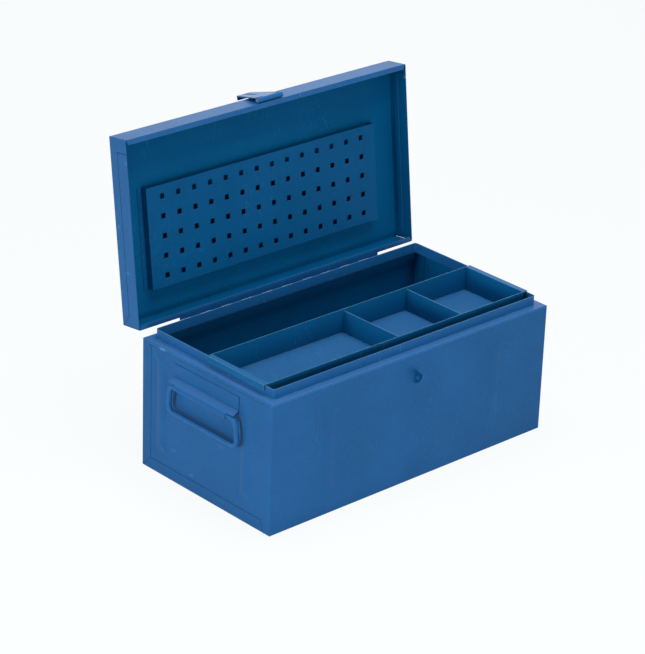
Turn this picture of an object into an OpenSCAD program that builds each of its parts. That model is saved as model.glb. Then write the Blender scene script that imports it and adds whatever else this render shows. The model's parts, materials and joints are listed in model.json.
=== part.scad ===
// Sheet-steel tool chest with a hinged lid, a sliding tray and a perforated tool panel.
// Millimetres. The origin is the middle of the chest's underside: X runs along the front,
// Y from the front to the back and Z up. The lid is drawn open, leaning back past its hinge,
// with its hasp folded back over it, the bails hanging and the tray near the front.

/* [Chest] */
// Length of the chest along its front
chest_l = 690; // [670:5:800]
// Depth of the chest from front to back
chest_d = 360; // [345:5:420]
// Height of the ledge that the lid closes down to
ledge_z = 259.5; // [250:0.5:320]
// Width of the ledge between the walls and the rim
ledge_w = 17; // [15.5:0.5:19]
// Height of the rim that stands up inside the lid
rim_h = 19; // [14:0.5:22]
// Outer radius of the rim's corners
rim_r = 5; // [3:0.5:10]

/* [Sheet] */
// Thickness of the body and lid sheet
sheet = 1.2; // [0.8:0.1:1.5]
// Outer radius of the folded edges
fold_r = 2.4; // [1.8:0.2:3.2]
// Open width of the seams between flush sheets
seam_gap = 0.9; // [0.4:0.1:1.2]
// Width over which a joggled margin backs the sheet it belongs to
lap = 3; // [2:0.5:5]

/* [Seams] */
// Width of the back sheet's upright flange on the ends
flange_side = 25; // [18:1:32]
// Height of the floor sheet's flange on the ends
flange_foot = 24; // [18:1:32]
// Distance from the front to the clipped end of the floor flange
flange_start = 20; // [12:1:30]
// Height of the top frame's lip on the ends
lip_h = 5.5; // [4:0.5:8]
// Depth of the hidden flanges inside the front and the back
hidden_flange = 14; // [10:1:20]

/* [Beads] */
// Width of the stiffening beads on the ends
end_bead_w = 28; // [20:1:34]
// Height of the stiffening beads on the ends
end_bead_h = 2.3; // [1.5:0.1:3]
// Distance between the centre lines of the two end beads
end_bead_pitch = 235; // [225:1:245]
// Distance of the end beads behind the chest's middle
end_bead_y = 6; // [-4:1:10]
// Width of the beads on the front
front_bead_w = 29; // [20:1:36]
// Height of the beads on the front
front_bead_h = 1; // [0.8:0.1:2]
// Distance between the centre lines of the two front beads
front_bead_pitch = 416; // [360:1:440]
// Height of the beads' lower ends above the floor
bead_foot = 50; // [40:1:60]
// Distance of the end beads' upper ends below the ledge
end_bead_head = 17; // [12:1:24]
// Distance of the front beads' upper ends below the ledge
front_bead_head = 45; // [36:1:60]
// Length of the sloping run at the end of a bead
bead_run = 14; // [6:1:16]

/* [Lid] */
// Height of the lid's skirt
lid_h = 48; // [44:1:60]
// Angle that the lid leans back to, from closed
lid_open = 96.7; // [90:0.1:105]
// Width of the return flanges on the front and rear skirts
return_w = 10; // [8:0.5:12]
// Distance that the return flanges stop short of the ends
return_clip = 6; // [4:0.5:12]
// Height of the top sheet's strip on the ends
lid_strip = 22; // [16:0.5:26]
// Length of the top sheet's tab on the ends, behind the front corner
lid_tab = 27; // [18:1:36]

/* [Hinge] */
// Length of the strip hinge
hinge_l = 500; // [400:50:600]
// Length of one knuckle of the strip hinge
hinge_knuckle = 25; // [20:5:50]
// Diameter of the hinge pin
hinge_pin_d = 3; // [2.4:0.1:3.4]
// Thickness of the hinge leaves
hinge_t = 1.2; // [1:0.1:1.5]
// Distance of the hinge pin behind the back sheet
hinge_back = 7.8; // [6:0.2:10]
// Distance that the hinge leaves reach in over the ledge
hinge_lap = 9.5; // [8:0.5:12]

/* [Perforated panel] */
// Length of the perforated panel
panel_l = 566; // [540:2:600]
// Width of the perforated panel
panel_w = 195; // [185:1:220]
// Thickness of the perforated panel
panel_t = 1.2; // [0.8:0.1:1.5]
// Space between the perforated panel and the lid
panel_off = 15; // [12:0.5:18]
// Distance of the panel's middle behind the lid's middle
panel_y = 28; // [10:1:40]
// Side of the square holes
hole = 10; // [8:0.5:12]
// Distance between neighbouring holes
hole_pitch = 38; // [36:0.5:40]
// Number of holes along the panel
hole_cols = 14; // [8:1:14]
// Number of rows of holes
hole_rows = 5; // [3:1:5]
// Width of the feet that hold the panel to the lid
foot_w = 9; // [6:0.5:12]

/* [Hasp] */
// Length of the hasp's knuckle
hasp_w = 60; // [50:1:70]
// Thickness of the hasp's sheet
hasp_t = 2; // [1.5:0.1:2.4]
// Diameter of the hasp pin
hasp_pin_d = 6; // [5:0.1:7]
// Height of the hasp pin above the lid's rim
hasp_up = 5; // [4:0.5:8]
// Gap between the closed hasp and the chest's front
hasp_gap = 0.5; // [0.3:0.1:1]
// Length that the hasp reaches past the slot
hasp_tail = 6; // [5:0.5:9]
// Width of the hasp's free end
hasp_end_w = 36; // [28:1:44]
// Width of the fixed leaf's far end
hasp_plate_end_w = 34; // [26:1:44]
// Length of the hasp's turned-out finger lip
hasp_lip = 7; // [3:0.5:9]
// Angle by which the folded-back hasp leans in over the lid
hasp_lean = 8.2; // [6:0.1:8.4]

/* [Padlock staple] */
// Thickness of the staple
staple_t = 3; // [2.5:0.1:4]
// Distance that the staple stands out of the front
staple_out = 22; // [18:0.5:24]
// Height of the staple
staple_h = 28; // [24:0.5:30]
// Distance of the staple's top below the ledge
staple_drop = 31.5; // [28:0.5:40]
// Diameter of the staple's hole
staple_hole_d = 8; // [6:0.5:9]
// Clearance round the staple in the hasp's slot
slot_clear = 1.5; // [1:0.1:2]

/* [Handles] */
// Diameter of the bail's rod
bail_rod = 9.5; // [8:0.1:10.5]
// Length of the straight part of the bail's upper bar
bail_top = 153.5; // [140:0.5:165]
// Angle by which each side of the bail leans out
bail_splay = 6; // [0:0.5:8]
// Distance between the axes of the bail's upper and lower bars
bail_drop = 52; // [42:1:60]
// Radius of the bail's upper corners, on the rod's axis
bail_top_r = 15; // [12:0.5:18]
// Radius of the bail's lower corners, on the rod's axis
bail_r = 12; // [10:0.5:14]
// Distance of the bail's axis from the end
bail_off = 12; // [10.5:0.1:14]
// Distance of the bail's pivot axis below the ledge
bail_down = 56.5; // [50:0.5:70]
// Distance that a bail can slide along its bracket
bail_slide = 9.5; // [4:0.5:14]
// Width of the handle brackets
bracket_w = 180; // [175:1:200]
// Thickness of the handle brackets
bracket_t = 1.5; // [1:0.1:2]
// Distance of the handle brackets in front of the chest's middle
bracket_front = 1.5; // [0:0.5:4]
// Height of a bracket's flat part, above where it bends out
bracket_flat = 27; // [20:1:30]
// Height of the bracket's bend above the bail's pivot axis
bracket_rise = 12; // [10:0.5:15]
// Radius of the bracket's upper corners
bracket_corner = 1.5; // [1:0.5:6]

/* [Tray] */
// Depth of the tray from front to back
tray_d = 154; // [120:1:180]
// Height of the tray
tray_h = 49; // [40:1:60]
// Thickness of the tray's sheet
tray_t = 1; // [0.8:0.1:1.5]
// Gap between the tray's ends and the inside of the rim
tray_gap = 6; // [4:0.5:9]
// Distance of the tray's front wall behind the rim
tray_start = 22.8; // [10:0.2:60]
// Length of the turned-down lips on the tray's hooks
tray_lip = 10.5; // [8:0.5:13]
// Gap between the tray's lips and the rim
tray_lip_gap = 1.8; // [0.8:0.1:2]
// Place of the middle divider along the tray
divider_middle_x = 0; // [-60:1:40]
// Place of the right divider along the tray
divider_right_x = 161; // [120:1:220]
// Distance of the dividers' upper edges below the tray's
divider_drop = 3.5; // [0:0.5:10]

/* [Clearances] */
// Radial clearance round the hinge and hasp pins
pin_clear = 0.05; // [0.03:0.01:0.08]
// Radial clearance of a bail in its bracket
bail_clear = 0.1; // [0.06:0.01:0.2]
// Gap between the rear end of a bracket's roll and the bail's corner
bail_play = 0.25; // [0.2:0.05:0.5]
// Gap between a bracket's full width and the bail's bar below it
hood_clear = 0.9; // [0.8:0.1:2]
// Gap between neighbouring knuckles
knuckle_gap = 0.4; // [0.3:0.1:0.6]
// Gap between the two leaves of the closed hinge
leaf_gap = 0.1; // [0.1:0.1:0.4]
// Height of the tray's hooks above the rim that carries them
tray_seat = 0.2; // [0.1:0.1:0.5]

/* [Hidden] */
$fn = 48;

half_l = chest_l / 2;
half_d = chest_d / 2;
eps = 0.01;
reach = 20; // overrun of the cutting shapes
rim_half_l = half_l - ledge_w;
rim_half_d = half_d - ledge_w;
rim_top = ledge_z + rim_h;
lip_z = ledge_z - lip_h;
flange_y = half_d - flange_side;

// Hinge line and closed lid
lid_z = ledge_z + 2 * hinge_t + leaf_gap;
lid_top = lid_z + lid_h;
hinge_y = half_d + hinge_back;
hinge_z = ledge_z + hinge_t + leaf_gap / 2;
hinge_bore = hinge_pin_d / 2 + pin_clear;
hinge_ring = hinge_bore + hinge_t;
knuckles = round(hinge_l / hinge_knuckle);
lid_seam_z = lid_top - lid_strip;
lid_seam_y = -half_d + lid_tab;

// Hasp on the closed lid's front skirt
hasp_bore = hasp_pin_d / 2 + pin_clear;
hasp_ring = hasp_bore + hasp_t;
hasp_y = -half_d - hasp_gap - hasp_ring;
hasp_z = lid_z + hasp_up;
hasp_fold = 180 + hasp_lean;
hasp_side = hasp_w / 4; // length of each outer knuckle
staple_top = ledge_z - staple_drop;
staple_r = staple_out + 3; // radius of the staple's rounded lower side
slot_start = hasp_z - staple_top - slot_clear;
slot_end = hasp_z - staple_top + staple_h + slot_clear;
slot_w = staple_t + 2 * slot_clear;
hasp_len = slot_end + hasp_tail;

// Handles
bail_z = ledge_z - bail_down;
bracket_bore = bail_rod / 2 + bail_clear;
bracket_ring = bracket_bore + bracket_t;
bend_z = bail_z + bracket_rise;
hood_z = bail_z + bail_rod / 2 + hood_clear;
roll_w = bail_top - bail_slide;
bail_y = bail_play - bracket_front - bail_slide / 2;
leg_slim = 0.2; // what a bail's leaning side is thinner than its corners
leg_lap = 1; // length over which that side runs into each corner

// Tray
tray_half_l = rim_half_l - sheet - tray_gap;
tray_front = -rim_half_d + sheet + tray_start;
tray_top = rim_top + tray_seat + tray_t;
tray_floor = tray_top - tray_h;

paint = "steelblue";
inside_paint = "darkslateblue";
panel_paint = "royalblue";
steel = "lightsteelblue";

// ---- shapes that repeat ----

// Rectangle with round corners, centred
module rounded_rect(w, h, r) {
    square([w - 2 * r, h], center = true);
    square([w, h - 2 * r], center = true);
    for (x = [-1, 1], y = [-1, 1])
        translate([x * (w / 2 - r), y * (h / 2 - r)])
            circle(r);
}

// Box whose edges are all folded to radius r
module folded_box(l, d, low, high, r) {
    middle = (low + high) / 2;
    intersection() {
        translate([0, 0, low])
            linear_extrude(high - low)
                rounded_rect(l, d, r);
        translate([0, d / 2, middle])
            rotate([90, 0, 0])
                linear_extrude(d)
                    rounded_rect(l, high - low, r);
        translate([-l / 2, 0, middle])
            rotate([90, 0, 90])
                linear_extrude(l)
                    rounded_rect(d, high - low, r);
    }
}

// Outline drawn in Y and Z, made into a plate that starts at x and is t thick
module side_plate(x, t, points) {
    translate([x, 0, 0])
        rotate([90, 0, 90])
            linear_extrude(t)
                polygon(points);
}

// Box between two corners
module block(low, high) {
    translate(low)
        cube(high - low);
}

// What is given for the right end, mirrored to the left when side is -1
module on_side(side) {
    if (side > 0)
        children();
    else
        mirror([1, 0, 0])
            children();
}

// Stiffening bead that swells out of the plane x = 0, upright and with sloping ends
module bead(w, h, low, high) {
    r = (w * w / 4 + h * h) / (2 * h);
    intersection() {
        translate([h - r, 0, low])
            rotate([0, 0, 180])
                cylinder(r = r, h = high - low, $fn = 96);
        rotate([90, 0, 0])
            translate([0, 0, -w])
                linear_extrude(2 * w)
                    polygon([[-sheet - 2, low], [0, low], [h, low + bead_run],
                             [h, high - bead_run], [0, high], [-sheet - 2, high]]);
        translate([-sheet / 2, -w, low])
            cube([h + sheet, 2 * w, high - low]);
    }
}

// A bead's hollow, which follows it one sheet further in
module bead_hollow(w, h, low, high) {
    r = (w * w / 4 + h * h) / (2 * h);
    translate([-sheet, 0, 0])
        intersection() {
            translate([h - r, 0, low])
                rotate([0, 0, 180])
                    cylinder(r = r, h = high - low, $fn = 96);
            rotate([90, 0, 0])
                translate([0, 0, -w])
                    linear_extrude(2 * w)
                        polygon([[-4 * sheet, low], [0, low], [h, low + bead_run],
                                 [h, high - bead_run], [0, high], [-4 * sheet, high]]);
        }
}

// ---- chest ----

// One sheet of steel all round the chest's box
module chest_skin() {
    difference() {
        folded_box(chest_l, chest_d, 0, ledge_z, fold_r);
        folded_box(chest_l - 2 * sheet, chest_d - 2 * sheet, sheet, ledge_z - sheet,
                   max(fold_r - sheet, 0.2));
    }
}

// Outline of the floor and back sheet's flange on an end, drawn in Y and Z and grown by g
function flange_outline(g) = [
    [-half_d + flange_start - g, -1],
    [-half_d + flange_start + 1 - g, flange_foot * 0.62],
    [-half_d + flange_start + 6 - g, flange_foot + g],
    [flange_y - g, flange_foot + g],
    [flange_y - g, lip_z],
    [half_d + 1, lip_z],
    [half_d + 1, -1]];

// Two solid beads or their two hollows on the right end
module end_beads() {
    for (s = [-1, 1])
        translate([half_l, end_bead_y + s * end_bead_pitch / 2, 0])
            bead(end_bead_w, end_bead_h, bead_foot, ledge_z - end_bead_head);
}
module end_bead_hollows() {
    for (s = [-1, 1])
        translate([half_l, end_bead_y + s * end_bead_pitch / 2, 0])
            bead_hollow(end_bead_w, end_bead_h, bead_foot, ledge_z - end_bead_head);
}

// The same on the front
module front_beads() {
    for (s = [-1, 1])
        translate([s * front_bead_pitch / 2, -half_d, 0])
            rotate([0, 0, -90])
                bead(front_bead_w, front_bead_h, bead_foot, ledge_z - front_bead_head);
}
module front_bead_hollows() {
    for (s = [-1, 1])
        translate([s * front_bead_pitch / 2, -half_d, 0])
            rotate([0, 0, -90])
                bead_hollow(front_bead_w, front_bead_h, bead_foot, ledge_z - front_bead_head);
}

// Front sheet, carried round both front corners to make the ends. Its margins are joggled
// in by one sheet, under the flanges of the floor and back sheet and the top frame's lips.
module front_and_ends() {
    color(paint)
    difference() {
        union() {
            intersection() {
                chest_skin();
                union() {
                    block([-half_l + fold_r, -half_d - 1, -1],
                          [half_l - fold_r, -half_d + sheet, ledge_z - fold_r]);
                    for (side = [-1, 1])
                        on_side(side)
                            difference() {
                                block([half_l - fold_r, -half_d - 1, -1],
                                      [half_l + 1, half_d + 1, ledge_z - fold_r]);
                                side_plate(half_l - reach, 2 * reach, flange_outline(seam_gap));
                                block([half_l - reach, -half_d + fold_r, lip_z - seam_gap],
                                      [half_l + reach, half_d + 2, ledge_z]);
                            }
                }
            }
            for (side = [-1, 1])
                on_side(side) {
                    joggled_margin();
                    end_beads();
                }
            front_beads();
        }
        for (side = [-1, 1])
            on_side(side)
                end_bead_hollows();
        front_bead_hollows();
    }
}

// Margin of the right end that lies one sheet further in
module joggled_margin() {
    low_x = half_l - 2 * sheet;
    high_x = half_l - sheet;
    far_y = half_d - fold_r - seam_gap;
    block([low_x, -half_d + flange_start - lap, fold_r + seam_gap],
          [high_x, far_y, flange_foot + seam_gap + lap]);
    block([low_x, flange_y - seam_gap - lap, flange_foot],
          [high_x, far_y, ledge_z - fold_r]);
    block([low_x, -half_d + sheet, lip_z - seam_gap - lap],
          [high_x, far_y, ledge_z - fold_r]);
}

// Floor and back in one sheet, with mitred flanges over both ends and a hidden one in front
module floor_and_back() {
    color(paint)
    difference() {
        union() {
            intersection() {
                chest_skin();
                union() {
                    block([-half_l + fold_r, -half_d + sheet, -1],
                          [half_l - fold_r, half_d - fold_r, fold_r]);
                    block([-half_l + fold_r, half_d - fold_r, -1],
                          [half_l - fold_r, half_d + 1, ledge_z - fold_r]);
                    for (side = [-1, 1])
                        on_side(side)
                            intersection() {
                                side_plate(half_l - fold_r, 2 * fold_r, flange_outline(0));
                                block([half_l - fold_r, -half_d, -1],
                                      [half_l + 1, half_d + 1, lip_z - seam_gap]);
                            }
                }
            }
            block([-half_l + 4 * fold_r, -half_d + sheet, sheet / 2],
                  [half_l - 4 * fold_r, -half_d + 2 * sheet, hidden_flange]);
        }
        for (side = [-1, 1])
            on_side(side)
                mitre_cut();
    }
}

// Thin cut through the right flange, from its inner corner to the chest's lower back corner
module mitre_cut() {
    half = seam_gap / 2;
    side_plate(half_l - sheet - eps, sheet + 1,
               [[flange_y - half, flange_foot + half], [flange_y + half, flange_foot + half],
                [half_d - fold_r + half, fold_r], [half_d - fold_r - half, fold_r]]);
}

// Ledge, rim and the lips over both ends
module top_frame() {
    color(paint)
    union() {
        difference() {
            intersection() {
                chest_skin();
                union() {
                    block([-half_l - 1, -half_d - 1, ledge_z - fold_r],
                          [half_l + 1, half_d + 1, ledge_z + 1]);
                    for (side = [-1, 1])
                        on_side(side)
                            block([half_l - fold_r, -half_d + fold_r, lip_z],
                                  [half_l + 1, half_d + 1, ledge_z]);
                }
            }
            translate([0, 0, ledge_z - reach])
                linear_extrude(2 * reach)
                    rounded_rect(2 * rim_half_l - sheet, 2 * rim_half_d - sheet, rim_r - sheet / 2);
        }
        difference() {
            translate([0, 0, ledge_z - sheet])
                linear_extrude(rim_h + sheet)
                    rounded_rect(2 * rim_half_l, 2 * rim_half_d, rim_r);
            translate([0, 0, ledge_z - reach])
                linear_extrude(rim_h + 2 * reach)
                    rounded_rect(2 * (rim_half_l - sheet), 2 * (rim_half_d - sheet), rim_r - sheet);
        }
        for (s = [-1, 1])
            translate([0, s * (half_d - 1.5 * sheet), ledge_z - hidden_flange / 2])
                cube([chest_l - 8 * fold_r, sheet, hidden_flange - sheet], center = true);
    }
}

// Ear for a padlock, upright in the middle of the front
module padlock_staple() {
    color(paint)
    translate([-staple_t / 2, -half_d, staple_top])
        rotate([90, 0, -90])
            mirror([0, 0, 1])
                linear_extrude(staple_t)
                    staple_outline();
}

// Staple from the side: X is the distance out of the front and Y the height above its top
module staple_outline() {
    slope_start = staple_out / 2;
    difference() {
        intersection() {
            translate([staple_out - staple_r, -2.2])
                circle(staple_r, $fn = 96);
            polygon([[0, 0], [slope_start, 0], [staple_out + 2, -3], [staple_out + 2, -staple_h],
                     [0, -staple_h]]);
        }
        translate([9.3, -14.7])
            circle(d = staple_hole_d);
    }
}

// ---- handles ----

// Bracket on the right end: a flat part welded on, bent out and rolled round the bail
module handle_bracket() {
    mid_r = bracket_bore + bracket_t / 2;
    half = bracket_t / 2;
    start = [half, bend_z];
    centre = [bail_off, bail_z];
    step = start - centre;
    turn = atan2(step[1], step[0]) - acos(mid_r / norm(step));
    out = [cos(turn), sin(turn)];
    along = [out[1], -out[0]];
    touch = centre + mid_r * out;
    overlap = 3; // angle by which the roll starts before the straight part ends
    from = [cos(turn + overlap), sin(turn + overlap)];
    intersection() {
        union() {
            block([half_l, -bracket_front - bracket_w, bend_z],
                  [half_l + bracket_t, -bracket_front + bracket_w, bend_z + bracket_flat]);
            bracket_extrusion()
                polygon([start - half * out, start + half * (out - along),
                         touch + half * out, touch - half * out]);
            bracket_extrusion()
                difference() {
                    translate(centre) circle(bracket_ring);
                    translate(centre) circle(bracket_bore);
                    translate(centre)
                        polygon([[0, 0], 2 * bracket_ring * from, [0, 3 * bracket_ring],
                                 [-3 * bracket_ring, 0], [-2 * bracket_ring, -bracket_ring / 2]]);
                }
        }
        bracket_outline();
    }
}

// Extrudes a section drawn in X, outwards from the end, and Z along the right bracket
module bracket_extrusion() {
    translate([half_l, bracket_w - bracket_front, 0])
        rotate([90, 0, 0])
            linear_extrude(2 * bracket_w)
                children();
}

// The bracket's outline seen from the end of the chest, as a prism
module bracket_outline() {
    wide = bracket_w / 2;
    narrow = roll_w / 2;
    top = bend_z + bracket_flat;
    shoulder = top - bracket_corner;
    low = bail_z - 2 * bracket_ring;
    translate([0, -bracket_front, 0])
        side_plate(half_l - 1, bail_off + 2 * bracket_ring,
                   [[-wide + bracket_corner, top], [-wide, shoulder], [-wide, hood_z],
                    [-narrow, hood_z], [-narrow, low], [narrow, low], [narrow, hood_z],
                    [wide, hood_z], [wide, shoulder], [wide - bracket_corner, top]]);
}

module handle_bracket_left() {
    color(paint) on_side(-1) handle_bracket();
}
module handle_bracket_right() {
    color(paint) on_side(1) handle_bracket();
}

// Closed ring of rod that hangs from the right bracket
module bail() {
    translate([half_l + bail_off, bail_y, bail_z])
        rotate([90, 0, 90])
            for (s = [0, 1])
                mirror([s, 0, 0])
                    half_bail();
}

// Half of a bail, from the middle of its upper bar to the middle of its lower one
module half_bail() {
    half = bail_top / 2;
    lean = bail_splay;
    leg = (bail_drop - bail_top_r - bail_r + (bail_top_r - bail_r) * sin(lean)) / cos(lean);
    foot = half + (bail_top_r - bail_r) * cos(lean) + leg * sin(lean);
    bail_bar(half, 0);
    translate([half, -bail_top_r, 0])
        rotate([0, 0, 90])
            mirror([0, 1, 0])
                bail_corner(bail_top_r, 90 - lean);
    translate([half + bail_top_r * cos(lean), bail_top_r * (sin(lean) - 1), 0])
        rotate([90, 0, lean])
            translate([0, 0, -leg_lap])
                cylinder(d = bail_rod - leg_slim, h = leg + 2 * leg_lap);
    translate([foot, bail_r - bail_drop, 0])
        rotate([0, 0, -90])
            bail_corner(bail_r, 90 + lean);
    bail_bar(foot, -bail_drop);
}

// Straight bar of a bail, from its middle to one end
module bail_bar(length, height) {
    translate([0, height, 0])
        rotate([0, 90, 0])
            cylinder(d = bail_rod, h = length);
}

// Corner of a bail that turns through an angle from the X axis on
module bail_corner(r, angle) {
    rotate_extrude(angle = angle)
        translate([r, 0])
            circle(d = bail_rod);
}

module bail_left() {
    color(paint) on_side(-1) bail();
}
module bail_right() {
    color(paint) on_side(1) bail();
}

// ---- hinge ----

// Turns what is drawn on the closed lid to where it lies open
module open_lid() {
    translate([0, hinge_y, hinge_z])
        rotate([-lid_open, 0, 0])
            translate([0, -hinge_y, -hinge_z])
                children();
}

// One leaf of the strip hinge: its plate from low to high, with every second knuckle
module hinge_leaf(low, high, first) {
    step = hinge_l / knuckles;
    difference() {
        union() {
            block([-hinge_l / 2, half_d - hinge_lap, low], [hinge_l / 2, hinge_y, high]);
            for (i = [first : 2 : knuckles - 1])
                translate([-hinge_l / 2 + i * step + knuckle_gap / 2, hinge_y, hinge_z])
                    rotate([0, 90, 0])
                        cylinder(r = hinge_ring, h = step - knuckle_gap, $fn = 32);
        }
        for (i = [1 - first : 2 : knuckles - 1])
            block([-hinge_l / 2 + i * step - knuckle_gap / 2,
                   hinge_y - hinge_ring - knuckle_gap, hinge_z - reach],
                  [-hinge_l / 2 + (i + 1) * step + knuckle_gap / 2, hinge_y + reach, hinge_z + reach]);
        translate([-hinge_l, hinge_y, hinge_z])
            rotate([0, 90, 0])
                cylinder(r = hinge_bore, h = 2 * hinge_l, $fn = 32);
    }
}

module hinge_body_leaf() {
    color(steel) hinge_leaf(ledge_z, ledge_z + hinge_t, 0);
}
module hinge_lid_leaf() {
    color(steel) open_lid() hinge_leaf(lid_z - hinge_t, lid_z, 1);
}
module hinge_pin() {
    color(steel)
    translate([-hinge_l / 2, hinge_y, hinge_z])
        rotate([0, 90, 0])
            cylinder(d = hinge_pin_d, h = hinge_l, $fn = 32);
}

// ---- lid, drawn closed ----

// Outline of an end piece, drawn in Y and Z and grown by g along its seams
function lid_end_outline(g) = [
    [lid_seam_y - g, lid_z - g],
    [lid_seam_y - g, lid_seam_z + g],
    [half_d - lid_strip - g / 2, lid_seam_z + g],
    [half_d - fold_r - g / 2, lid_top - fold_r],
    [half_d - fold_r + g, lid_top - fold_r],
    [half_d - fold_r + g, lid_z - g]];

// Top, front and rear in one sheet, with strips over the ends and return flanges
module lid_shell() {
    color(paint)
    open_lid()
    union() {
        difference() {
            folded_box(chest_l, chest_d, lid_z - reach, lid_top, fold_r);
            folded_box(chest_l - 2 * sheet, chest_d - 2 * sheet, lid_z - 2 * reach, lid_top - sheet,
                       max(fold_r - sheet, 0.2));
            block([-chest_l, -chest_d, lid_z - 2 * reach], [chest_l, chest_d, lid_z]);
            for (side = [-1, 1])
                on_side(side)
                    side_plate(half_l - 2 * sheet, 4 * sheet, lid_end_outline(seam_gap));
        }
        return_flange(half_l - 2 * sheet, half_l - return_clip);
        mirror([0, 1, 0])
            return_flange(half_l - 2 * sheet, half_l - return_clip);
    }
}

// Flange turned in from the front skirt, root_l long at its root and tip_l at its edge
module return_flange(root_l, tip_l) {
    root_y = half_d - sheet / 2;
    tip_y = half_d - return_w;
    translate([0, 0, lid_z])
        linear_extrude(sheet)
            polygon([[-root_l, -root_y], [root_l, -root_y], [tip_l, -tip_y], [-tip_l, -tip_y]]);
}

// End piece below the top sheet's strip, with its joggled margin behind the seams
module lid_end() {
    back = 8; // reach of the joggled margin behind the top sheet
    corner = half_d - lid_strip;
    side_plate(half_l - sheet, sheet, lid_end_outline(0));
    side_plate(half_l - 2 * sheet, sheet,
               [[lid_seam_y - back, lid_z + 2 * sheet], [lid_seam_y - back, lid_seam_z + back],
                [corner, lid_seam_z + back], [half_d - fold_r - back, lid_top - fold_r],
                [half_d - 2 * fold_r, lid_top - fold_r], [half_d - 2 * fold_r, lid_top - back - fold_r],
                [corner + back, lid_seam_z - lap], [lid_seam_y + lap, lid_seam_z - lap],
                [lid_seam_y + lap, lid_z + 2 * sheet]]);
}
module lid_end_left() {
    color(paint) open_lid() on_side(-1) lid_end();
}
module lid_end_right() {
    color(paint) open_lid() on_side(1) lid_end();
}

// Perforated tool panel, folded up at both ends to feet on the lid
module perforated_panel() {
    inner = lid_top - sheet;
    low = inner - panel_off - panel_t;
    color(panel_paint)
    open_lid()
    translate([0, panel_y, 0])
        union() {
            translate([0, 0, low])
                linear_extrude(panel_t)
                    difference() {
                        square([panel_l, panel_w], center = true);
                        for (i = [0 : hole_cols - 1], j = [0 : hole_rows - 1])
                            translate([(i - (hole_cols - 1) / 2) * hole_pitch,
                                       (j - (hole_rows - 1) / 2) * hole_pitch])
                                square(hole, center = true);
                    }
            for (side = [-1, 1])
                on_side(side) {
                    block([panel_l / 2 - panel_t, -panel_w / 2, low],
                          [panel_l / 2, panel_w / 2, inner]);
                    block([panel_l / 2 - panel_t, -panel_w / 2, inner - panel_t],
                          [panel_l / 2 + foot_w, panel_w / 2, inner]);
                }
        }
}

// ---- hasp ----

// Tapered strap of the hasp, drawn in X and Z from the pin outwards
module strap(length, end_w) {
    clear = hasp_ring + knuckle_gap;
    corner = 3;
    polygon([[-hasp_w / 2, clear], [-end_w / 2, length - corner], [-end_w / 2 + corner, length],
             [end_w / 2 - corner, length], [end_w / 2, length - corner], [hasp_w / 2, clear]]);
}

// Rolled knuckle of the hasp from x = low to high, with the sheet that leads into it
module hasp_knuckle(low, high, lead_y, lead_z) {
    block([low, lead_y, min(lead_z, 0)], [high, lead_y + hasp_t, max(lead_z, 0)]);
    translate([low, 0, 0])
        rotate([0, 90, 0])
            cylinder(r = hasp_ring, h = high - low);
}

module hasp_hole() {
    translate([-hasp_w, 0, 0])
        rotate([0, 90, 0])
            cylinder(r = hasp_bore, h = 2 * hasp_w);
}

// Fixed leaf on the front skirt, with the two outer knuckles
module hasp_plate() {
    lead = hasp_ring + 1;
    length = lid_h - hasp_up - 1;
    color(paint)
    open_lid()
    translate([0, hasp_y, hasp_z])
        difference() {
            union() {
                translate([0, hasp_ring + hasp_gap, 0])
                    rotate([90, 0, 0])
                        linear_extrude(hasp_t)
                            strap(length, hasp_plate_end_w);
                for (side = [-1, 1])
                    on_side(side)
                        hasp_knuckle(hasp_w / 2 - hasp_side, hasp_w / 2,
                                     hasp_ring + hasp_gap - hasp_t, lead);
            }
            hasp_hole();
        }
}

module hasp_pin() {
    color(steel)
    open_lid()
    translate([-hasp_w / 2, hasp_y, hasp_z])
        rotate([0, 90, 0])
            cylinder(d = hasp_pin_d, h = hasp_w);
}

// Swinging leaf, drawn hanging from the pin and then folded back over the lid
module hasp_leaf() {
    lead = -hasp_ring - 1;
    face = hasp_ring - hasp_t;
    color(paint)
    open_lid()
    translate([0, hasp_y, hasp_z])
        rotate([-hasp_fold, 0, 0])
            difference() {
                union() {
                    translate([0, hasp_ring, 0])
                        rotate([90, 0, 0])
                            linear_extrude(hasp_t)
                                mirror([0, 1, 0])
                                    strap(hasp_len, hasp_end_w);
                    hasp_knuckle(-hasp_w / 2 + hasp_side + knuckle_gap,
                                 hasp_w / 2 - hasp_side - knuckle_gap, face, lead);
                    finger_lip(face);
                }
                translate([0, reach, 0])
                    rotate([90, 0, 0])
                        linear_extrude(2 * reach)
                            slot_outline();
                hasp_hole();
            }
}

// Lip turned out at the hasp's free end
module finger_lip(face) {
    half = hasp_end_w / 2 - 1;
    block([-half, face - hasp_lip, -hasp_len], [half, face + hasp_t, -hasp_len + hasp_t]);
}

// Slot with round ends that passes over the staple
module slot_outline() {
    r = slot_w / 2;
    translate([0, -slot_start - r + slot_clear])
        circle(r);
    translate([0, -slot_end + r - slot_clear])
        circle(r);
    translate([-r, -slot_end + r - slot_clear])
        square([slot_w, slot_end - slot_start - slot_w + 2 * slot_clear]);
}

// ---- tray ----

// Floor, front and rear wall in one sheet
module tray_shell() {
    color(inside_paint)
    translate([0, tray_front, tray_floor])
        difference() {
            block([-tray_half_l, 0, 0], [tray_half_l, tray_d, tray_h]);
            block([-tray_half_l - 1, tray_t, tray_t],
                  [tray_half_l + 1, tray_d - tray_t, tray_h + 1]);
        }
}

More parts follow.
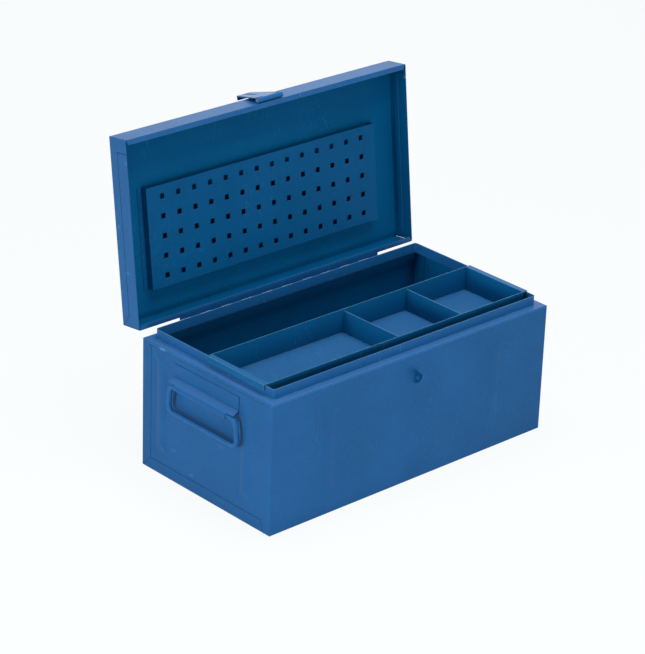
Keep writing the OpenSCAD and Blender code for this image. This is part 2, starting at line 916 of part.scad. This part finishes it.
// End wall with the flange and lip that hook over the rim
module tray_end() {
    hook_x = rim_half_l + tray_lip_gap;
    flange_z = tray_top - tray_t;
    translate([0, tray_front, 0]) {
        block([tray_half_l - tray_t, tray_t, tray_floor + tray_t],
              [tray_half_l, tray_d - tray_t, tray_top]);
        block([tray_half_l - eps, 0, flange_z], [hook_x + tray_t, tray_d, tray_top]);
        block([hook_x, 0, tray_top - tray_lip], [hook_x + tray_t, tray_d, tray_top]);
    }
}
module tray_end_left() {
    color(inside_paint) on_side(-1) tray_end();
}
module tray_end_right() {
    color(inside_paint) on_side(1) tray_end();
}

// Divider across the tray at x
module divider(x) {
    color(inside_paint)
    block([x - tray_t / 2, tray_front + tray_t, tray_floor + tray_t],
          [x + tray_t / 2, tray_front + tray_d - tray_t, tray_top - divider_drop]);
}
module divider_middle() {
    divider(divider_middle_x);
}
module divider_right() {
    divider(divider_right_x);
}

front_and_ends();
floor_and_back();
top_frame();
padlock_staple();
handle_bracket_left();
handle_bracket_right();
hinge_body_leaf();
hinge_pin();
lid_shell();
lid_end_left();
lid_end_right();
hinge_lid_leaf();
perforated_panel();
hasp_plate();
hasp_pin();
hasp_leaf();
bail_left();
bail_right();
tray_shell();
tray_end_left();
tray_end_right();
divider_middle();
divider_right();
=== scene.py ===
import json
import math

import bmesh
import bpy
from mathutils import Matrix, Vector, noise


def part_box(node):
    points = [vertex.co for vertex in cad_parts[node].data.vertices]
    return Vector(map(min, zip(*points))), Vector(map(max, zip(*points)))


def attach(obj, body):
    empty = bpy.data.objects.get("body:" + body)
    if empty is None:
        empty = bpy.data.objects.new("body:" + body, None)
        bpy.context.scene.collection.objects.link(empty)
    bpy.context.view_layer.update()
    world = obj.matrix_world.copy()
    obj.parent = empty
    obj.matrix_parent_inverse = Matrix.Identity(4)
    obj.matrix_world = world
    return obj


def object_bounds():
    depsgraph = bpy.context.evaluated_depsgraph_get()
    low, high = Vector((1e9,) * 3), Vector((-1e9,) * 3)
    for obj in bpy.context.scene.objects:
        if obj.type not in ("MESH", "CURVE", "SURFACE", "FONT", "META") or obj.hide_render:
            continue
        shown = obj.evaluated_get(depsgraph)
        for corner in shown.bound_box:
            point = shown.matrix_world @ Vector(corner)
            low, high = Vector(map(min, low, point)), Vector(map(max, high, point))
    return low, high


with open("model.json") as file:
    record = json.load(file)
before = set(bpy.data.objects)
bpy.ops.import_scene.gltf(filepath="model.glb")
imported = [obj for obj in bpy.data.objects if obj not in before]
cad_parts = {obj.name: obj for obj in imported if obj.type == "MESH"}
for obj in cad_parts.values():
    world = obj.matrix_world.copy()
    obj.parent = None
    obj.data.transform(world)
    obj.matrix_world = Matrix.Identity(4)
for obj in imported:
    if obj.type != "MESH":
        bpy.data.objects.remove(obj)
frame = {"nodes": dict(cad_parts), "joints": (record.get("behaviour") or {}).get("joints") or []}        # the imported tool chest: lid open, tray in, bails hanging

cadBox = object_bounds()
nodes = frame["nodes"]
print("chest loaded:", len(nodes), "nodes")

# camera

camera = {
    "lens": 149.4,               # mm
    "sensor": 36,                # mm
    "distance": 4.993,
    "target": (-0.06615, 0.0, 0.26603),
    "yaw": 42.961,               # degrees, from +Y towards +X
    "pitch": 24.571,
    "roll": 1.991,
}


def makeCamera(spec):
    yaw, pitch, roll = (math.radians(spec[k]) for k in ("yaw", "pitch", "roll"))
    forward = Vector((math.sin(yaw) * math.cos(pitch), math.cos(yaw) * math.cos(pitch), -math.sin(pitch)))
    right = Vector((math.cos(yaw), -math.sin(yaw), 0))
    up = right.cross(forward)
    turn = Matrix((right, up, -forward)).transposed().to_4x4() @ Matrix.Rotation(roll, 4, "Z")
    data = bpy.data.cameras.new("chestCamera")
    data.lens = spec["lens"]
    data.sensor_width = spec["sensor"]
    obj = bpy.data.objects.new("chestCamera", data)
    obj.matrix_world = Matrix.Translation(Vector(spec["target"]) - forward * spec["distance"]) @ turn
    bpy.context.scene.collection.objects.link(obj)
    bpy.context.scene.camera = obj


makeCamera(camera)
bpy.context.scene.view_settings.view_transform = "Standard"
print("camera set")

# node helpers


def newGroup(name, inputs, outputs):
    tree = bpy.data.node_groups.new(name, "ShaderNodeTree")
    for label, kind, value in inputs:
        socket = tree.interface.new_socket(name=label, in_out="INPUT", socket_type=kind)
        socket.default_value = value
    for label, kind in outputs:
        tree.interface.new_socket(name=label, in_out="OUTPUT", socket_type=kind)
    return tree, tree.nodes.new("NodeGroupInput"), tree.nodes.new("NodeGroupOutput")


def addNode(tree, kind, values=None, **settings):
    node = tree.nodes.new(kind)
    for key, value in settings.items():
        setattr(node, key, value)
    for key, value in (values or {}).items():
        if isinstance(value, bpy.types.NodeSocket):
            tree.links.new(value, node.inputs[key])
        else:
            node.inputs[key].default_value = value
    return node


def mathNode(tree, operation, a, b=0.0):
    return addNode(tree, "ShaderNodeMath", {0: a, 1: b}, operation=operation).outputs[0]


def vectorNode(tree, operation, a, b):
    return addNode(tree, "ShaderNodeVectorMath", {0: a, 1: b}, operation=operation)


def mixColour(tree, factor, a, b):
    return addNode(tree, "ShaderNodeMix", {0: factor, 6: a, 7: b}, data_type="RGBA").outputs[2]


def noiseNode(tree, place, scale, detail=3.0, roughness=0.55):
    node = addNode(tree, "ShaderNodeTexNoise",
                   {"Vector": place, "Scale": scale, "Detail": detail, "Roughness": roughness})
    return node.outputs["Fac"]


def rampNode(tree, factor, low, high):
    node = addNode(tree, "ShaderNodeMapRange", {"Value": factor, "From Min": low, "From Max": high},
                   interpolation_type="SMOOTHSTEP")
    return node.outputs["Result"]


def shareNode(tree, factor, spread, most):
    node = addNode(tree, "ShaderNodeMapRange", {"Value": factor, "From Min": spread[0], "From Max": spread[1],
                                                "To Min": 0.0, "To Max": most})
    return node.outputs["Result"]


plainBlue = (0, 0.08, 0.25, 1)           # what a colour input holds until a paint sets it
plainPale = (0.05, 0.2, 0.45, 1)

# worn folds with a painted highlight: a mask where the surface bends, broken up by noise, and the rounded
# normal

foldWearAndHighlightLook = {
    "radius": 0.0008,
    "samples": 8,
    "breakUp": 240.0,
    "bend": (0.03, 0.28),                # bend from no wear and highlight to full wear and highlight
    "patchy": (0.25, 0.7),
    "least": 0.5,                        # wear and highlight that is left where the noise is lowest
}


def buildFoldWearAndHighlightGroup(look):
    tree, ins, outs = newGroup(
        "foldWearAndHighlight",
        [("Radius", "NodeSocketFloat", look["radius"]), ("Break Up", "NodeSocketFloat", look["breakUp"]),
         ("Low", "NodeSocketFloat", look["bend"][0]), ("High", "NodeSocketFloat", look["bend"][1])],
        [("Mask", "NodeSocketFloat"), ("Normal", "NodeSocketVector")])
    bevel = addNode(tree, "ShaderNodeBevel", {"Radius": ins.outputs["Radius"]}, samples=look["samples"])
    flat = addNode(tree, "ShaderNodeNewGeometry").outputs["Normal"]
    alike = vectorNode(tree, "DOT_PRODUCT", bevel.outputs[0], flat).outputs["Value"]
    bent = mathNode(tree, "SUBTRACT", 1.0, alike)
    place = addNode(tree, "ShaderNodeTexCoord").outputs["Object"]
    patchy = rampNode(tree, noiseNode(tree, place, ins.outputs["Break Up"]), *look["patchy"])
    left = mathNode(tree, "ADD", mathNode(tree, "MULTIPLY", patchy, 1.0 - look["least"]), look["least"])
    wearAndHighlight = rampNode(tree, bent, ins.outputs["Low"], ins.outputs["High"])
    tree.links.new(mathNode(tree, "MULTIPLY", wearAndHighlight, left), outs.inputs["Mask"])
    tree.links.new(bevel.outputs[0], outs.inputs["Normal"])
    return tree


# enamel: clouds, grain, painted glints and scuffs in its colour, clouds in its roughness, waves and peel in
# height

enamelLook = {
    "spread": (0.3, 0.7),                # the part of a noise's range that is used
    "cloudScale": 9.0,
    "cloud": 0.12,
    "cloudRough": 0.12,
    "grainScale": 430.0,
    "grain": 0.16,
    "glintScale": 1400.0,
    "glint": (0.66, 0.74),
    "glintShare": 0.12,
    "streakTurn": (0.5, 0.35, 0.6),
    "streakScale": (520.0, 24.0, 60.0),
    "streak": (0.68, 0.74),
    "patchScale": 7.0,
    "patch": (0.5, 0.62),
    "scuff": 0.35,
    "rough": 0.4,
    "peelScale": 700.0,
    "peelHeight": 0.06,
    "waveScale": 16.0,
    "wave": 1.0,
}


def buildEnamelGroup(look):
    tree, ins, outs = newGroup(
        "stoveEnamel",
        [("Colour", "NodeSocketColor", plainBlue), ("Pale", "NodeSocketColor", plainPale),
         ("Cloud Scale", "NodeSocketFloat", look["cloudScale"]),
         ("Cloud", "NodeSocketFloat", look["cloud"]),
         ("Peel Scale", "NodeSocketFloat", look["peelScale"]),
         ("Glint Share", "NodeSocketFloat", look["glintShare"]),
         ("Scuff", "NodeSocketFloat", look["scuff"]),
         ("Roughness", "NodeSocketFloat", look["rough"]),
         ("Wave", "NodeSocketFloat", look["wave"])],
        [("Colour", "NodeSocketColor"), ("Roughness", "NodeSocketFloat"), ("Height", "NodeSocketFloat")])
    place = addNode(tree, "ShaderNodeTexCoord").outputs["Object"]
    cloud = noiseNode(tree, place, ins.outputs["Cloud Scale"], 2.0)
    grain = noiseNode(tree, place, look["grainScale"], 1.0)
    shade = mathNode(tree, "ADD", shareNode(tree, cloud, look["spread"], ins.outputs["Cloud"]),
                     shareNode(tree, grain, look["spread"], look["grain"]))
    shaded = mixColour(tree, shade, ins.outputs["Colour"], (0, 0, 0, 1))

    # painted glints: tiny pale points in the colour stand in for the orange peel catching the light
    glint = rampNode(tree, noiseNode(tree, place, look["glintScale"], 1.0), *look["glint"])
    glints = mathNode(tree, "MULTIPLY", glint, ins.outputs["Glint Share"])
    glinted = mixColour(tree, glints, shaded, ins.outputs["Pale"])

    slanted = addNode(tree, "ShaderNodeMapping", {"Vector": place, "Rotation": look["streakTurn"],
                                                  "Scale": look["streakScale"]}).outputs[0]
    streak = rampNode(tree, noiseNode(tree, slanted, 1.0, 1.0), *look["streak"])
    patch = rampNode(tree, noiseNode(tree, place, look["patchScale"], 1.0), *look["patch"])
    scuff = mathNode(tree, "MULTIPLY", mathNode(tree, "MULTIPLY", streak, patch), ins.outputs["Scuff"])
    tree.links.new(mixColour(tree, scuff, glinted, ins.outputs["Pale"]), outs.inputs["Colour"])

    uneven = mathNode(tree, "MULTIPLY", mathNode(tree, "SUBTRACT", cloud, 0.5), look["cloudRough"])
    tree.links.new(mathNode(tree, "ADD", ins.outputs["Roughness"], uneven), outs.inputs["Roughness"])

    peel = noiseNode(tree, place, ins.outputs["Peel Scale"], 2.0, 0.5)
    wave = noiseNode(tree, place, look["waveScale"], 1.0)
    height = mathNode(tree, "ADD", mathNode(tree, "MULTIPLY", peel, look["peelHeight"]),
                      mathNode(tree, "MULTIPLY", wave, ins.outputs["Wave"]))
    tree.links.new(height, outs.inputs["Height"])
    return tree


# dust and a painted sheen on faces that lie flat, and painted shade in crevices

shadeAndDustLook = {
    "dustAndSheenColour": (0.05, 0.145, 0.35, 1),
    "lying": (0.75, 0.98),               # upward part of the normal from no dust and sheen to full dust and painted sheen
    "dustAndSheenScale": 60.0,
    "dustAndSheenLeast": 0.75,
    "dustAndSheenSpread": 0.5,
    # reach, samples, crevice shade, closed and its colour: painted shade that darkens crevices and joints
    "reach": 0.003,
    "samples": 8,
    "creviceShade": 0.5,
    "closed": (0.2, 0.75),
    "creviceShadeColour": (0.0, 0.012, 0.03, 1),
}


def buildShadeAndDustGroup(look):
    tree, ins, outs = newGroup(
        "creviceShadeAndDustSheen",
        [("Colour", "NodeSocketColor", plainBlue), ("Dust And Sheen Colour", "NodeSocketColor", look["dustAndSheenColour"]),
         ("Reach", "NodeSocketFloat", look["reach"]), ("Crevice Shade", "NodeSocketFloat", look["creviceShade"]),
         ("Dust And Sheen", "NodeSocketFloat", 0.0)],
        [("Colour", "NodeSocketColor")])
    place = addNode(tree, "ShaderNodeTexCoord")
    rise = addNode(tree, "ShaderNodeSeparateXYZ", {0: place.outputs["Normal"]}).outputs["Z"]
    # painted sheen: faces that lie flat are mixed towards a paler colour, partly dust and partly the lamps'
    # sheen from above
    lying = rampNode(tree, rise, *look["lying"])
    patchy = mathNode(tree, "MULTIPLY", noiseNode(tree, place.outputs["Object"], look["dustAndSheenScale"]),
                      look["dustAndSheenSpread"])
    settled = mathNode(tree, "MULTIPLY", lying, mathNode(tree, "ADD", patchy, look["dustAndSheenLeast"]))
    dustAndSheen = mathNode(tree, "MULTIPLY", settled, ins.outputs["Dust And Sheen"])
    withDustAndSheen = mixColour(tree, dustAndSheen, ins.outputs["Colour"], ins.outputs["Dust And Sheen Colour"])
    # painted shade: ambient occlusion darkens the colour in crevices and between parts, where shade falls
    around = addNode(tree, "ShaderNodeAmbientOcclusion", {"Distance": ins.outputs["Reach"]},
                     samples=look["samples"])
    closed = rampNode(tree, mathNode(tree, "SUBTRACT", 1.0, around.outputs["AO"]), *look["closed"])
    dark = mathNode(tree, "MULTIPLY", closed, ins.outputs["Crevice Shade"])
    tree.links.new(mixColour(tree, dark, withDustAndSheen, look["creviceShadeColour"]), outs.inputs["Colour"])
    return tree


# a mask of the faces that look away from a point inside the chest or the lid
def buildOutwardGroup():
    tree, ins, outs = newGroup("facesOutward", [("Centre", "NodeSocketVector", (0, 0, 0))],
                               [("Mask", "NodeSocketFloat")])
    place = addNode(tree, "ShaderNodeTexCoord")
    arm = vectorNode(tree, "SUBTRACT", place.outputs["Object"], ins.outputs["Centre"]).outputs[0]
    away = vectorNode(tree, "DOT_PRODUCT", arm, place.outputs["Normal"]).outputs["Value"]
    tree.links.new(mathNode(tree, "GREATER_THAN", away, 0.0), outs.inputs["Mask"])
    return tree


foldWearAndHighlight = buildFoldWearAndHighlightGroup(foldWearAndHighlightLook)
stoveEnamel = buildEnamelGroup(enamelLook)
creviceShadeAndDustSheen = buildShadeAndDustGroup(shadeAndDustLook)
facesOutward = buildOutwardGroup()
print("shader groups built")

# paint

middles = {"chest": (0, 0, 0.13), "closedLid": (0, 0, 0.286)}
lidHinge = next(joint for joint in frame["joints"] if joint["name"] == "lid_hinge")
lidTurn = Matrix.Rotation(-math.radians(lidHinge["range_deg"][1]), 3, "X")
hingeAxis = Vector(lidHinge["pos_m"])
lidMiddle = hingeAxis + lidTurn @ (Vector(middles["closedLid"]) - hingeAxis)

paints = {
    # inner: painted light and shade, the colour on faces that look towards the middle, lighter inside the
    # chest and darker inside the lid than outside
    # edge: how worn and how brightly highlighted the folds are, in the pale colour; fold: the radius that the
    # wear and painted highlight reach
    # coat: clear coat on outer faces; dust: a paler colour on faces that lie flat, partly dust and partly a
    # painted sheen of the lamps above
    "shellPaint": {"colour": (0.011, 0.101, 0.285), "inner": (0.001, 0.128, 0.335), "middle": middles["chest"],
                   "pale": (0.05, 0.22, 0.46), "edge": 0.35, "rough": 0.42, "wave": 1.0, "shine": 0.08,
                   "dustAndSheen": 0.7},
    "framePaint": {"colour": (0.009, 0.105, 0.3), "pale": (0.17, 0.38, 0.6), "edge": 0.9, "fold": 0.0015,
                   "rough": 0.38, "wave": 0.6, "shine": 0.12, "dustAndSheen": 0.6},
    "lidPaint": {"colour": (0.011, 0.104, 0.295), "inner": (0.001, 0.092, 0.24), "middle": lidMiddle,
                 "pale": (0.05, 0.22, 0.46), "edge": 0.25, "rough": 0.45, "wave": 1.0, "shine": 0.03,
                 "coat": 0.3},
    "panelPaint": {"colour": (0.002, 0.086, 0.235), "pale": (0.05, 0.22, 0.46), "edge": 0.3, "rough": 0.45,
                   "wave": 0.6, "shine": 0.05},
    "trayPaint": {"colour": (0.002, 0.105, 0.27), "pale": (0.2, 0.42, 0.66), "edge": 1.0, "fold": 0.0015,
                  "rough": 0.42, "wave": 0.8, "shine": 0.08, "dustAndSheen": 0.4},
    "fittingPaint": {"colour": (0.01, 0.105, 0.3), "pale": (0.06, 0.24, 0.5), "edge": 0.5, "rough": 0.38,
                     "wave": 0.0, "shine": 0.12},
}
paintBump = {"Strength": 0.25, "Distance": 0.002}


def makePaint(name, spec):
    material = bpy.data.materials.new(name)
    material.use_nodes = True
    tree = material.node_tree
    shader = tree.nodes["Principled BSDF"]
    pale = (*spec["pale"], 1)
    colour = (*spec["colour"], 1)
    # painted light and shade: faces towards the middle take the inside colour, a lighter copy of the outside
    # paint in the chest and a darker one in the lid
    if "middle" in spec:
        outward = addNode(tree, "ShaderNodeGroup", {"Centre": spec["middle"]}, node_tree=facesOutward)
        mask = outward.outputs["Mask"]
        colour = mixColour(tree, mask, (*spec["inner"], 1), colour)
        if "coat" in spec:
            tree.links.new(mathNode(tree, "MULTIPLY", mask, spec["coat"]), shader.inputs["Coat Weight"])
            shader.inputs["Coat Roughness"].default_value = spec["rough"]
    enamel = addNode(tree, "ShaderNodeGroup",
                     {"Colour": colour, "Pale": pale, "Roughness": spec["rough"], "Wave": spec["wave"]},
                     node_tree=stoveEnamel)
    edges = addNode(tree, "ShaderNodeGroup", {"Radius": spec.get("fold", foldWearAndHighlightLook["radius"])},
                    node_tree=foldWearAndHighlight)
    # painted shade in crevices, and dust with a painted sheen on faces that lie flat
    shadeAndSheen = addNode(tree, "ShaderNodeGroup",
                    {"Colour": enamel.outputs["Colour"], "Dust And Sheen": spec.get("dustAndSheen", 0.0)},
                    node_tree=creviceShadeAndDustSheen)
    bump = addNode(tree, "ShaderNodeBump",
                   {**paintBump, "Height": enamel.outputs["Height"], "Normal": edges.outputs["Normal"]})
    # painted highlight along the folds, partly paint worn thin: the pale colour on the bend mask
    wearAndHighlight = mathNode(tree, "MULTIPLY", edges.outputs["Mask"], spec["edge"])
    tree.links.new(mixColour(tree, wearAndHighlight, shadeAndSheen.outputs["Colour"], pale), shader.inputs["Base Color"])
    tree.links.new(enamel.outputs["Roughness"], shader.inputs["Roughness"])
    tree.links.new(bump.outputs["Normal"], shader.inputs["Normal"])
    shader.inputs["Specular IOR Level"].default_value = spec["shine"]
    return material


# bare steel of the pins, drawn along X

steel = {
    "colour": (0.5, 0.52, 0.55, 1),
    "dull": (0.3, 0.31, 0.33, 1),
    "stainScale": 120.0,
    "stain": (0.4, 0.7),
    "stretch": (0.02, 1.0, 1.0),
    "drawnScale": 1500.0,
    "rough": 0.34,
    "drawnRough": 0.15,
    "bump": {"Strength": 0.1, "Distance": 0.0005},
}


def makeSteel(name, spec):
    material = bpy.data.materials.new(name)
    material.use_nodes = True
    tree = material.node_tree
    shader = tree.nodes["Principled BSDF"]
    place = addNode(tree, "ShaderNodeTexCoord").outputs["Object"]
    along = addNode(tree, "ShaderNodeMapping", {"Vector": place, "Scale": spec["stretch"]}).outputs[0]
    drawn = noiseNode(tree, along, spec["drawnScale"], 2.0)
    stain = rampNode(tree, noiseNode(tree, place, spec["stainScale"]), *spec["stain"])
    tree.links.new(mixColour(tree, stain, spec["colour"], spec["dull"]), shader.inputs["Base Color"])
    rough = mathNode(tree, "ADD", spec["rough"], mathNode(tree, "MULTIPLY", drawn, spec["drawnRough"]))
    tree.links.new(rough, shader.inputs["Roughness"])
    bump = addNode(tree, "ShaderNodeBump", {**spec["bump"], "Height": drawn})
    tree.links.new(bump.outputs["Normal"], shader.inputs["Normal"])
    shader.inputs["Metallic"].default_value = 1.0
    return material


paintOf = {
    "perforated_panel": "panelPaint", "top_frame": "framePaint", "padlock_staple": "fittingPaint",
    "hasp_leaf": "fittingPaint", "hasp_plate": "fittingPaint",
    "hinge_body_leaf": "fittingPaint", "hinge_lid_leaf": "fittingPaint",
    "bail_left": "fittingPaint", "bail_right": "fittingPaint",
    "hasp_pin": "pinSteel", "hinge_pin": "pinSteel",
}
paintOfStart = {"tray": "trayPaint", "divider": "trayPaint", "lid": "lidPaint"}
made = {name: makePaint(name, spec) for name, spec in paints.items()}
made["pinSteel"] = makeSteel("pinSteel", steel)
for name, node in nodes.items():
    byStart = next((paint for start, paint in paintOfStart.items() if name.startswith(start)), "shellPaint")
    node.data.materials.clear()
    node.data.materials.append(made[paintOf.get(name, byStart)])
print("chest painted")

# weld beads, painted over with the sheets that they join

welds = {
    "tack": 0.0013,                      # radius of the tray's tacks
    "lift": 0.00098,                     # distance of their centres from the sheets
    "heights": (0.2, 0.55, 0.88),        # their places up a divider
    "alongs": (0.12, 0.37, 0.63, 0.88),  # and along the floor
    "fillet": 0.0013,                    # radius of the bead at the staple's foot
    "ripple": 0.0019,                    # distance between its ripples
    "lumps": 0.28,                       # how far the lumps rise, in radii
    "lumpScale": 1.3,
    "subdivisions": 2,
}


def makeBeads(name, body, paint, places, radius):
    shape = bmesh.new()
    for place in places:
        ball = bmesh.ops.create_icosphere(shape, subdivisions=welds["subdivisions"], radius=radius)
        bmesh.ops.translate(shape, verts=ball["verts"], vec=place)
    shape.normal_update()
    for vert in shape.verts:
        lump = noise.noise(vert.co * welds["lumpScale"] / radius)
        vert.co += vert.normal * radius * welds["lumps"] * lump
    for face in shape.faces:
        face.smooth = True
    mesh = bpy.data.meshes.new(name)
    shape.to_mesh(mesh)
    shape.free()
    mesh.materials.append(made[paint])
    piece = bpy.data.objects.new(name, mesh)
    bpy.context.scene.collection.objects.link(piece)
    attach(piece, body)


def between(low, high, shares):
    return [low + (high - low) * share for share in shares]


# the tacks on one side of a divider or an end: up its two corners and along the floor
def tackPlaces(x, side, low, high):
    lift = welds["lift"]
    ends = (low[1] + lift, high[1] - lift)
    rising = [(x + side * lift, y, z) for y in ends for z in between(low[2], high[2], welds["heights"])]
    return rising + [(x + side * lift, y, low[2] + lift) for y in between(*ends, welds["alongs"])]


def weldTray(part, places):
    makeBeads("welds_" + part, "tray", "trayPaint", places, welds["tack"])


for divider in ("divider_middle", "divider_right"):
    low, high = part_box(divider)
    weldTray(divider, tackPlaces(low[0], -1, low, high) + tackPlaces(high[0], 1, low, high))
low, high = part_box("divider_right")      # the ends' tacks stand as high and as far apart as a divider's
weldTray("tray_end_left", tackPlaces(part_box("tray_end_left")[1][0], 1, low, high))
weldTray("tray_end_right", tackPlaces(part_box("tray_end_right")[0][0], -1, low, high))

low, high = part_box("padlock_staple")
ripples = int((high[2] - low[2]) / welds["ripple"])
footLine = between(low[2] + welds["fillet"], high[2] - welds["fillet"],
                   [i / ripples for i in range(ripples + 1)])
makeBeads("welds_staple", "chest", "fittingPaint",
          [(x, high[1], z) for x in (low[0], high[0]) for z in footLine], welds["fillet"])
print("welds laid")

# floor, world and lamps

studio = {
    "floorSize": 30.0,
    "floorSquares": 8,
    "floorGap": 0.0002,                  # below the chest
    "floorTone": (0.86, 0.87, 0.88, 1),
    "paper": (0.969, 0.991, 1.0, 1),     # what the camera sees around the chest
    "paperShare": 0.93,
    "ambient": 0.24,
    "aim": (0, 0, 0.3),
}
lamps = {
    # name: (place, size, watts)
    "boxLeft": ((-2.8, 0.2, 0.6), 0.45, 38.0),
    "boxTop": ((0.0, -0.3, 2.8), 1.6, 56.0),
    "boxTopRear": ((-0.2, 0.6, 2.8), 1.0, 9.0),
    "boxTopFront": ((0.3, -1.8, 2.4), 1.4, 4.0),
    "boxFront": ((-0.7, -2.8, 0.75), 0.8, 27.0),
    "boxFrontLow": ((-0.6, -1.8, 0.25), 0.8, 3.5),
    "boxBackRight": ((1.9, 2.3, 1.1), 1.6, 9.0),
}


# 1 where the paper is seen, also in a shine or through glass, and 0 where it only lights the chest
def seenShare(tree):
    path = addNode(tree, "ShaderNodeLightPath")
    seen = mathNode(tree, "ADD", path.outputs["Is Camera Ray"], path.outputs["Is Glossy Ray"])
    return addNode(tree, "ShaderNodeMath", {0: seen, 1: path.outputs["Is Transmission Ray"]},
                   operation="ADD", use_clamp=True).outputs[0]


def makeWorld():
    world = bpy.data.worlds.new("studio")
    world.use_nodes = True
    tree = world.node_tree
    light = tree.nodes["Background"]
    light.inputs["Color"].default_value = (1, 1, 1, 1)
    light.inputs["Strength"].default_value = studio["ambient"]
    paper = addNode(tree, "ShaderNodeBackground", {"Color": studio["paper"], "Strength": 1.0})
    mix = addNode(tree, "ShaderNodeMixShader", {0: seenShare(tree), 1: light.outputs[0], 2: paper.outputs[0]})
    tree.links.new(mix.outputs[0], tree.nodes["World Output"].inputs["Surface"])
    bpy.context.scene.world = world


def makePaper():
    material = bpy.data.materials.new("palePaper")
    material.use_nodes = True
    tree = material.node_tree
    tree.nodes.clear()
    diffuse = addNode(tree, "ShaderNodeBsdfDiffuse", {"Color": studio["floorTone"]})
    glow = addNode(tree, "ShaderNodeEmission", {"Color": studio["paper"], "Strength": 1.0})
    share = mathNode(tree, "MULTIPLY", seenShare(tree), studio["paperShare"])
    mix = addNode(tree, "ShaderNodeMixShader", {0: share, 1: diffuse.outputs[0], 2: glow.outputs[0]})
    addNode(tree, "ShaderNodeOutputMaterial", {"Surface": mix.outputs[0]})
    return material


def makeFloor():
    shape = bmesh.new()
    squares = studio["floorSquares"]
    bmesh.ops.create_grid(shape, x_segments=squares, y_segments=squares, size=studio["floorSize"] / 2)
    bmesh.ops.translate(shape, verts=shape.verts, vec=(0, 0, cadBox[0][2] - studio["floorGap"]))
    mesh = bpy.data.meshes.new("paperFloor")
    shape.to_mesh(mesh)
    shape.free()
    mesh.materials.append(makePaper())
    floor = bpy.data.objects.new("paperFloor", mesh)
    bpy.context.scene.collection.objects.link(floor)


def makeLamp(name, place, size, watts):
    light = bpy.data.lights.new(name, "AREA")
    light.size = size
    light.energy = watts
    lamp = bpy.data.objects.new(name, light)
    aim = Vector(studio["aim"]) - Vector(place)
    lamp.matrix_world = Matrix.Translation(place) @ aim.to_track_quat("-Z", "Y").to_matrix().to_4x4()
    lamp.visible_camera = False
    bpy.context.scene.collection.objects.link(lamp)


makeWorld()
makeFloor()
for name, values in lamps.items():
    makeLamp(name, *values)
print("studio lit")
